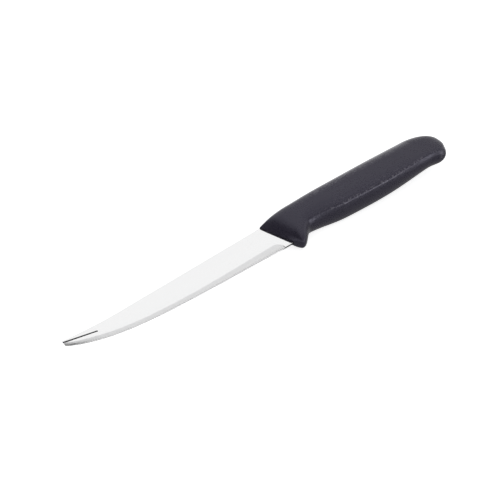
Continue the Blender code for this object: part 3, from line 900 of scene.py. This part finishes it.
# %% Long lines
HANDLE_LENGTH = 0.1166
LIP_DEPTH = HEEL_DEPTH + 0.0009
LIP_BACK = front_at(-LIP_DEPTH)
GUARD_BACK = 0.0107
GUARD_DEPTH = 0.0242
NECK_BACK = 0.0209
PALM_BACK = 0.062
WAIST_BACK = HANDLE_LENGTH - 0.0143
BEAK_BACK = HANDLE_LENGTH - 0.0062
ROUND_BACK = HANDLE_LENGTH - 0.0200
BUTT_DEPTH = 0.0109
TOP_LINE = ((0.0, 0.0), (0.0187, 0.0026), (PALM_BACK, 0.0018), (ROUND_BACK, 0.0011))
BOTTOM_LINE = (
    (LIP_BACK, -LIP_DEPTH), (GUARD_BACK, -GUARD_DEPTH), (NECK_BACK + 0.0008, -0.0171), (0.045, -0.0200),
    (0.077, -0.0214), (WAIST_BACK, -0.0207), (BEAK_BACK, -0.0221),
)
HALF_LINE = (
    (0.0, 0.0019), (0.0076, 0.0052), (GUARD_BACK, 0.0059), (NECK_BACK, 0.0069), (0.040, 0.0079),
    (PALM_BACK, 0.0077), (BEAK_BACK, 0.0046),
)
RIDGE_LINE = ((0.0, 0.80), (NECK_BACK, 0.34), (BEAK_BACK, 0.34))
KEEL_LINE = ((LIP_BACK, 0.60), (NECK_BACK, 0.31), (BEAK_BACK, 0.31))
TOP_FACET_LINE = ((0.0, 0.0006), (GUARD_BACK, 0.0032), (PALM_BACK, 0.0048))
TURN_LINE = (
    (LIP_BACK, 0.0012), (GUARD_BACK, 0.0042), (NECK_BACK, 0.0055), (PALM_BACK, 0.0049),
    (BEAK_BACK, 0.0028),
)
EDGE_HEIGHT_LINE = (
    (LIP_BACK, 0.0006), (GUARD_BACK, 0.0021), (NECK_BACK, 0.0018), (PALM_BACK, 0.0012),
    (BEAK_BACK, 0.0018),
)
EDGE_LINE = ((LIP_BACK, 0.90), (NECK_BACK, 0.79), (PALM_BACK, 0.79), (BEAK_BACK, 0.96))
EDGE_ROUND_LINE = ((LIP_BACK, 0.0011), (0.094, 0.0011), (BEAK_BACK, 0.0020))
RIDGE_ROUND = 0.0025
TOP_ROUND = 0.0040
TURN_ROUND = 0.0034
KEEL_ROUND = 0.0022
print("handle in mm:", in_mm([HANDLE_LENGTH], 1), "long, its guard", in_mm([GUARD_DEPTH], 1), "deep")

# %% [markdown]
# ## Sections of the handle
#
# Each section has a ridge on top, flat flanks for the palm and fingers, a crisp lower edge and a narrow keel.
# Its corners come from the long lines, and each corner is rounded by a curve. At the front the sections lean
# with the slanted face, from the neck on they stand upright, and over the butt they shrink as a dome does.

# %% One cross-section
ROUND_STEPS = 8
MOST_ROUND = 0.48


def rounded(corners, cuts):
    """Rounds each corner of a closed outline by its own cut, stopping just short of half of a side."""
    points = []
    for index, (corner, size) in enumerate(zip(corners, cuts)):
        before = corners[index - 1] - corner
        after = corners[(index + 1) % len(corners)] - corner
        start = corner + before * min(size / before.length, MOST_ROUND)
        end = corner + after * min(size / after.length, MOST_ROUND)
        for step in range(ROUND_STEPS + 1):
            t = step / ROUND_STEPS
            points.append(start * (1 - t) ** 2 + corner * 2 * t * (1 - t) + end * t * t)
    return points


def cross_section(top, bottom, half, ridge, facet, turn, edge_height, edge, keel, edge_round):
    """Ridge, flat flank, crisp lower edge and keel, as (height, across) points of both sides."""
    cuts = (RIDGE_ROUND, TOP_ROUND, TURN_ROUND, edge_round, KEEL_ROUND)
    left = [(top, ridge), (top - facet, half), (bottom + turn, half)]
    left += [(bottom + edge_height, edge), (bottom, keel)]
    right = [(y, -z) for y, z in reversed(left)]
    return rounded([Vector(point) for point in left + right], cuts + cuts[::-1])


def station(top_x, bottom_x):
    """All the long lines, read where a section's top and bottom lie."""
    middle = top_x if top_x < NECK_BACK else (top_x + bottom_x) / 2
    half = smooth_line(HALF_LINE, middle)
    return (
        top_x,
        bottom_x,
        smooth_line(TOP_LINE, top_x),
        smooth_line(BOTTOM_LINE, bottom_x),
        half,
        half * smooth_line(RIDGE_LINE, middle),
        smooth_line(TOP_FACET_LINE, middle),
        smooth_line(TURN_LINE, bottom_x),
        smooth_line(EDGE_HEIGHT_LINE, bottom_x),
        half * smooth_line(EDGE_LINE, bottom_x),
        half * smooth_line(KEEL_LINE, bottom_x),
        smooth_line(EDGE_ROUND_LINE, bottom_x),
    )


palm = station(PALM_BACK, PALM_BACK)
print("height and thickness at the palm in mm:", in_mm([palm[2] - palm[3], 2 * palm[4]]))

# %% All sections, front to butt
FRONT_SECTIONS = 44
BODY_SECTIONS = 96
BUTT_ANGLES = (5, 10, 15, 20, 25, 30, 35, 40, 45, 50, 55, 60, 64, 68, 72, 75, 78, 81, 84, 86, 88)
BUTT_TOP_POWER = 0.99
BUTT_BOTTOM_POWER = 0.90
# Of half thickness, ridge, facet, turn, edge height, edge, keel and edge round, as a section lists them.
BUTT_POWERS = (0.60, 0.60, 1.0, 1.0, 1.0, 1.28, 0.60, 0.0)


def handle_stations():
    """Sections that lean with the front face, stand upright from the neck on, and close over the butt."""
    stations = []
    for step in range(FRONT_SECTIONS):
        share = step / FRONT_SECTIONS
        stations.append(station(NECK_BACK * share, LIP_BACK + (NECK_BACK - LIP_BACK) * share))
    for step in range(BODY_SECTIONS + 1):
        share = step / BODY_SECTIONS
        top_x = NECK_BACK + (ROUND_BACK - NECK_BACK) * share
        stations.append(station(top_x, top_x + (BEAK_BACK - ROUND_BACK) * share**3))
    top_x, bottom_x, top, bottom, *across = stations[-1]
    for angle in BUTT_ANGLES:
        near = math.sin(math.radians(angle))
        small = math.cos(math.radians(angle))
        stations.append(
            (
                top_x + (HANDLE_LENGTH - top_x) * near,
                bottom_x + (HANDLE_LENGTH - bottom_x) * near,
                -BUTT_DEPTH + (top + BUTT_DEPTH) * small**BUTT_TOP_POWER,
                -BUTT_DEPTH + (bottom + BUTT_DEPTH) * small**BUTT_BOTTOM_POWER,
                *(size * small**power for size, power in zip(across, BUTT_POWERS)),
            )
        )
    return stations


STATIONS = handle_stations()
print("sections:", len(STATIONS))

# %% Skin through the sections
FRONT_ROUND = 0.00022
FRONT_SEAM = 0.000005


def handle_skin():
    """The skin through all sections, with a small round where the front face meets it."""
    shape = bmesh.new()
    rows = []
    for top_x, bottom_x, top, bottom, *across in STATIONS:
        ring = []
        for y, z in cross_section(top, bottom, *across):
            down = (top - y) / (top - bottom)
            ring.append(shape.verts.new((top_x + (bottom_x - top_x) * down, y, z)))
        rows.append(ring)
    count = len(rows[0])
    for row, after in zip(rows, rows[1:]):
        for i in range(count):
            j = (i + 1) % count
            shape.faces.new((row[i], row[j], after[j], after[i]))
    front = shape.faces.new(rows[0])
    shape.faces.new(rows[-1])
    round_edges(shape, list(front.edges), FRONT_ROUND, clamp=True)
    close_seams(shape, FRONT_SEAM)
    return mesh_object("handle_moulded", shape)


handle = handle_skin()
print("handle skin:", count_triangles(handle), "triangles")

# %% [markdown]
# ## Moulded over the tang
#
# The hot plastic flows round the tang and through its holes, so the handle holds the exact shape of the steel
# and three plugs. A Boolean with the blade's own mesh would leave no room between them, and touching faces
# flicker. So the same outlines, grown by 0.04 mm, make the room, the shrunken pins leave the plugs standing,
# and the room is cut out of the skin.

# %% Mould the handle over the tang
room = plate("tang_room", tang_outline(SEAT_GAP), lambda x, y: STOCK_THICKNESS / 2 + SEAT_GAP)
mouth = plate("blade_mouth", seated_front(SEAT_GAP, WHEEL_LEAD), lambda x, y: flat_height(x, y) + SEAT_GAP)
join_solids(room, mouth, "UNION")
join_solids(room, hole_pins(SEAT_GAP), "DIFFERENCE")
join_solids(handle, room, "DIFFERENCE")
rework(handle, lambda shape: close_seams(shape, SEAM))
print("handle with its room:", count_triangles(handle), "triangles")

# %% [markdown]
# ## Moulded plastic
#
# The handle is near-black polypropylene with a hint of violet. Its mould was etched, so the skin has a fine
# pebbly grain that breaks every highlight into specks. Modelled pebbles would need millions of faces, so two
# noises of different size make the grain as bump, and a slow one changes the gloss over the skin. Along the
# crisp lower edges of the grip the colour is lightened in specks to a paler grey: partly scuffing from
# handling, and partly a painted glint, the speckled highlight that the edge catches. Pointiness, which tells
# how sharply the skin turns, finds those edges, and specks of noise break them up. It stays near a half on a
# mesh as fine as this one, so its range is narrow. The pale specks fade out towards the guard and the butt,
# where the hand rubs less.

# %% Scuffed edges with a painted glint
WORN_AND_GLINT_GREY = (0.15, 0.142, 0.165)
SCUFF_AND_GLINT_GRAIN = (1000.0, 1000.0, 1000.0)
TURNS_FROM, TURNS_FULLY = 0.504, 0.511
SPECKS_FROM, SPECKS_FULLY = 0.50, 0.58
WEAR_AND_GLINT_FROM, WEAR_AND_GLINT_FULLY = 0.020, 0.045
WEAR_AND_GLINT_GONE_BY, WEAR_AND_GLINT_FADES_FROM = 0.124, 0.098


def share_between(tree, value, low, high):
    """How far a value has gone from the low end of a range to the high one, from nought to one."""
    links = {"Value": value, "From Min": low, "From Max": high}
    return add_node(tree, "ShaderNodeMapRange", links).outputs[0]


def worn_and_glint_edges(tree, place, colour):
    """Lightens a colour in specks where the grip's skin turns sharply outwards: partly scuffs, and partly a
    painted glint.
    """
    pointed = tree.nodes.new("ShaderNodeNewGeometry").outputs["Pointiness"]
    edge = share_between(tree, pointed, TURNS_FROM, TURNS_FULLY)
    scuffs_and_glints = stretched_noise(tree, place, SCUFF_AND_GLINT_GRAIN, 3.0, 13.0)
    specks = share_between(tree, scuffs_and_glints, SPECKS_FROM, SPECKS_FULLY)
    along = add_node(tree, "ShaderNodeSeparateXYZ", {0: place}).outputs[0]
    gripped_and_glint = share_between(tree, along, WEAR_AND_GLINT_FROM, WEAR_AND_GLINT_FULLY)
    touched_and_glint = sums(tree, "MULTIPLY", gripped_and_glint, share_between(tree, along, WEAR_AND_GLINT_GONE_BY, WEAR_AND_GLINT_FADES_FROM))
    # Painted glint: the paler specks on the crisp lower edges stand for the speckled highlight there, as well
    # as scuffs.
    worn_and_glint = sums(tree, "MULTIPLY", sums(tree, "MULTIPLY", edge, specks), touched_and_glint)
    return blend_colours(tree, worn_and_glint, colour, WORN_AND_GLINT_GREY)


print("scuffs lie between", *in_mm([WEAR_AND_GLINT_FROM, WEAR_AND_GLINT_GONE_BY], 0), "mm along the frame's X")

# %% Plastic with etched grain
PEBBLES = (1500.0, 1500.0, 1500.0)
FINE_GRAIN = (7000.0, 7000.0, 7000.0)
GLOSS_CLOUDS = (90.0, 90.0, 90.0)
PEBBLE_HEIGHT = 0.00013
FINE_HEIGHT = 0.000006
SHARP_ON_SKIN = math.radians(40)


def etched_plastic():
    """Near-black plastic with pebbles, a fine grain on them, drifting gloss, and scuffed edges that also carry
    a painted glint.
    """
    made, shader, place = shader_tree("etched_plastic", (0.023, 0.020, 0.033), 0.0, 0.36, 0.51)
    shader.inputs["Specular Tint"].default_value = (0.84, 0.825, 1.0, 1.0)
    tree = made.node_tree
    grain = stretched_noise(tree, place, PEBBLES, 2.0, 5.0)
    fine = stretched_noise(tree, place, FINE_GRAIN, 1.0, 9.0)
    clouds = stretched_noise(tree, place, GLOSS_CLOUDS, 3.0, 2.0)
    rough = sums(tree, "ADD", ramp(tree, clouds, 0.25, 0.32), ramp(tree, grain, -0.04, 0.06))
    colour = blend_colours(tree, grain, (0.0195, 0.0168, 0.0285), (0.0275, 0.0242, 0.0387))
    coarse = bump(tree, grain, PEBBLE_HEIGHT, 0.85)
    relief = bump(tree, fine, FINE_HEIGHT, 0.5, coarse)
    wire(tree, shader, rough, worn_and_glint_edges(tree, place, colour), relief)
    return made


PLASTIC = etched_plastic()
print(PLASTIC.name, "has", len(PLASTIC.node_tree.nodes), "nodes")

# %% Dress and settle the handle
handle.data.materials.clear()
handle.data.materials.append(PLASTIC)
for face in handle.data.polygons:
    face.material_index = 0
settle(handle, SHARP_ON_SKIN)

# %% [markdown]
# ## Riding on the frame
#
# Each new piece stands for a CAD node, which is then hidden, and is parented to an empty that stands for the
# frame's one body.

# %% Tie the pieces to the frame
for piece, node, slot in ((blade, "blade", "stainless_steel"), (handle, "handle", "moulded_plastic")):
    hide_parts(node)
    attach(piece, "root")
    print(piece.name, "stands for", node)

# %% [markdown]
# ## Floor and room
#
# The knife lies on a plain white floor in a plain white room. Bright lamps would turn the floor white too,
# but they would burn out the blade. So the light stays at a plain level, and Light Path lifts the floor and
# the room to white only for rays that come from the camera, from a mirror or through glass. The floor still
# takes the knife's shadow.

# %% Helpers for the studio
WHITE = (1.0, 1.0, 1.0, 1.0)


def seen_directly(tree):
    """One for rays from the camera, from a mirror and through glass, and nought for scattered light."""
    rays = tree.nodes.new("ShaderNodeLightPath").outputs
    seen = sums(tree, "MAXIMUM", rays["Is Camera Ray"], rays["Is Glossy Ray"])
    return sums(tree, "MAXIMUM", seen, rays["Is Transmission Ray"])


def cleared_tree(owner):
    """The node tree of a material or a world, emptied."""
    owner.use_nodes = True
    owner.node_tree.nodes.clear()
    return owner.node_tree


def finish_shader(tree, kind, shader):
    result = tree.nodes.new(kind)
    tree.links.new(shader.outputs[0], result.inputs["Surface"])


def rectangle(left, near, right, far):
    return ((left, near), (right, near), (right, far), (left, far))


def level_sheet(name, corners, height):
    """A flat sheet at a height, with an empty material, as part of the studio."""
    data = bpy.data.meshes.new(name)
    data.from_pydata([(x, y, height) for x, y in corners], [], [range(len(corners))])
    made = add_object(name, data)
    finish = bpy.data.materials.new(name)
    data.materials.append(finish)
    return made, cleared_tree(finish)

# %% White floor and room
PAPER = 0.8
PAPER_LIFT = 0.74
ROOM_LIGHT = 0.55
FLOOR_REACH = 4.0


def studio_floor():
    corners = rectangle(-FLOOR_REACH, -FLOOR_REACH, FLOOR_REACH, FLOOR_REACH)
    tree = level_sheet("floor", corners, 0.0)[1]
    paper = add_node(tree, "ShaderNodeBsdfDiffuse", {"Color": (PAPER, PAPER, PAPER, 1.0)})
    lift = sums(tree, "MULTIPLY", seen_directly(tree), PAPER_LIFT)
    glow = add_node(tree, "ShaderNodeEmission", {"Color": WHITE, "Strength": lift})
    both = add_node(tree, "ShaderNodeAddShader", {0: paper.outputs[0], 1: glow.outputs[0]})
    finish_shader(tree, "ShaderNodeOutputMaterial", both)


def studio_room():
    scene.world = bpy.data.worlds.new("studio")
    tree = cleared_tree(scene.world)
    soft = add_node(tree, "ShaderNodeBackground", {"Color": WHITE, "Strength": ROOM_LIGHT})
    white = add_node(tree, "ShaderNodeBackground", {"Color": WHITE, "Strength": 1.0})
    links = {0: seen_directly(tree), 1: soft.outputs[0], 2: white.outputs[0]}
    finish_shader(tree, "ShaderNodeOutputWorld", add_node(tree, "ShaderNodeMixShader", links))


studio_floor()
studio_room()
print("room light:", ROOM_LIGHT)

# %% [markdown]
# ## Lamps and cards
#
# Two square lamps give soft light and leave no highlight of their own. A low strip does leave one: it draws
# the thin glint along the handle's lower edge. Polished steel shows what lies in its mirror direction, so the
# blade's tones are set by cards, as a photographer sets them, and not by more light. The cards are seen by
# reflections alone. One large card with soft grey over the blade's mirror direction makes the flats nearly
# white, darker ones beside it shade the bevel and the handle, and one on the table greys what looks down.

# %% Soft lamps


def softbox(name, stands_at, side, power):
    """A square area light that looks at the knife from a place, unseen in reflections."""
    light = bpy.data.lights.new(name, "AREA")
    light.shape = "SQUARE"
    light.size = side
    light.energy = power
    made = add_object(name, light)
    made.location = stands_at
    made.rotation_euler = (-Vector(stands_at)).to_track_quat("-Z", "Y").to_euler()
    made.visible_glossy = False
    return made


softbox("back_softbox", stands_at=(0.70, 0.90, 1.15), side=0.9, power=3.2)
softbox("front_softbox", stands_at=(-0.6, -1.2, 1.6), side=1.2, power=3.0)
strip = softbox("low_strip", stands_at=(0.95, -1.80, 0.22), side=0.50, power=5.2)
strip.visible_glossy = True
print("lamps:", [lamp.name for lamp in bpy.data.lights])

# %% Cards for reflections
OVERHEAD = 1.2
ON_TABLE = 0.0003
FAR = 1.7
SIDE_LINE = -0.35
FRONT_LINE = -0.60
BACK_LINE = 0.42
TABLE_LINE = -0.004
DARK_SIDE = (
    (-FAR, -FAR), (SIDE_LINE, -FAR), (SIDE_LINE, BACK_LINE), (-0.20, BACK_LINE), (-0.20, FAR),
    (-FAR, FAR), (-FAR, 0.55), (-2.7, 0.55), (-2.7, FRONT_LINE), (-FAR, FRONT_LINE),
)


def reflection_card(name, corners, height, glow):
    """A level card of one even tone that only shows in reflections."""
    made, tree = level_sheet(name, corners, height)
    card = add_node(tree, "ShaderNodeEmission", {"Color": WHITE, "Strength": glow})
    finish_shader(tree, "ShaderNodeOutputMaterial", card)
    made.visible_camera = False
    made.visible_diffuse = False
    made.visible_shadow = False
    made.visible_transmission = False


for name, corners, height, glow in (
    ("dark_side", DARK_SIDE, OVERHEAD, 0.02),
    ("grey_middle", rectangle(SIDE_LINE, FRONT_LINE, FAR, BACK_LINE), OVERHEAD, 0.92),
    ("dark_front", rectangle(SIDE_LINE, -FAR, FAR, FRONT_LINE), OVERHEAD, 0.46),
    ("soft_back", rectangle(1.15, BACK_LINE, 3.5, 3.0), OVERHEAD, 0.65),
    ("table_card", rectangle(-FAR, -FAR, FAR, TABLE_LINE), ON_TABLE, 0.36),
):
    reflection_card(name, corners, height, glow)
    print("card", name, "glows", glow)

# %% [markdown]
# ## Camera
#
# The camera's place was solved from the knife's outline: it looks down at about 45 degrees, from beyond the
# tip on the edge's side and a metre away, with a long lens. A Track To constraint would always keep the
# horizon level, but the picture is rolled by a third of a degree, so the camera's three axes are worked out
# and written into its matrix.

# %% Camera at the picture's angle
CAMERA_AT = Vector((-0.44332, -0.55762, 0.71116))
CAMERA_LOOKS = Vector((0.4343, 0.5600, -0.7055)).normalized()
CAMERA_ROLL = math.radians(-0.320)
LENS = 137.57

camera = add_object("camera", bpy.data.cameras.new("camera"))
level = CAMERA_LOOKS.cross(Vector((0, 0, 1))).normalized()
upright = level.cross(CAMERA_LOOKS)
right = level * math.cos(CAMERA_ROLL) + upright * math.sin(CAMERA_ROLL)
up = upright * math.cos(CAMERA_ROLL) - level * math.sin(CAMERA_ROLL)
turn = Matrix((right, up, -CAMERA_LOOKS)).transposed()
camera.matrix_world = Matrix.Translation(CAMERA_AT) @ turn.to_4x4()
camera.data.sensor_width = 36.0
camera.data.lens = LENS
camera.data.clip_start = 0.05
scene.camera = camera
scene.view_settings.view_transform = "Standard"
print("camera's height in mm:", in_mm([CAMERA_AT.z], 1), "lens in mm:", LENS)
